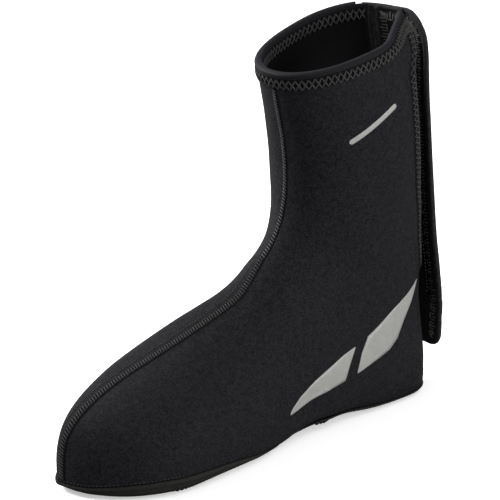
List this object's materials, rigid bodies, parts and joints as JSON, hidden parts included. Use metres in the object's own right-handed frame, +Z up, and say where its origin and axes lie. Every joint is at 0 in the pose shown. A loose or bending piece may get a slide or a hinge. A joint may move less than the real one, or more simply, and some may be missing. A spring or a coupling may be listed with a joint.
{
  "type": "cycling overshoe",
  "caption": "Left cycling overshoe: tall hollow neoprene bootie with ribbed fabric sole, cleat and heel openings, rear closure flap, front seam and reflective heel blades",
  "frame": {"origin": "centre of the shoe's box in plan, on the floor it stands on", "axes": "+X the foot's own left (outer side), -Y towards the toe, +Z up"},
  "size_m": [0.089, 0.2824, 0.2326],
  "materials": {
    "neoprene": "black knit-faced foam rubber, soft sheen",
    "hem_fabric": "dark elastic binding with zigzag stitch",
    "seam_thread": "braided black thread",
    "sole_fabric": "dark herringbone wear fabric",
    "tape_pile": "black fastening tape",
    "reflective_print": "warm grey reflective print"
  },
  "bodies": {
    "root": {"upper": "neoprene", "sole": "sole_fabric", "closure_flap": "neoprene", "hook_tape": "tape_pile", "slit_margin": "hem_fabric", "collar_hem": "hem_fabric", "front_seam": "seam_thread", "reflector_rear": "reflective_print", "reflector_front": "reflective_print"}
  },
  "joints": []
}
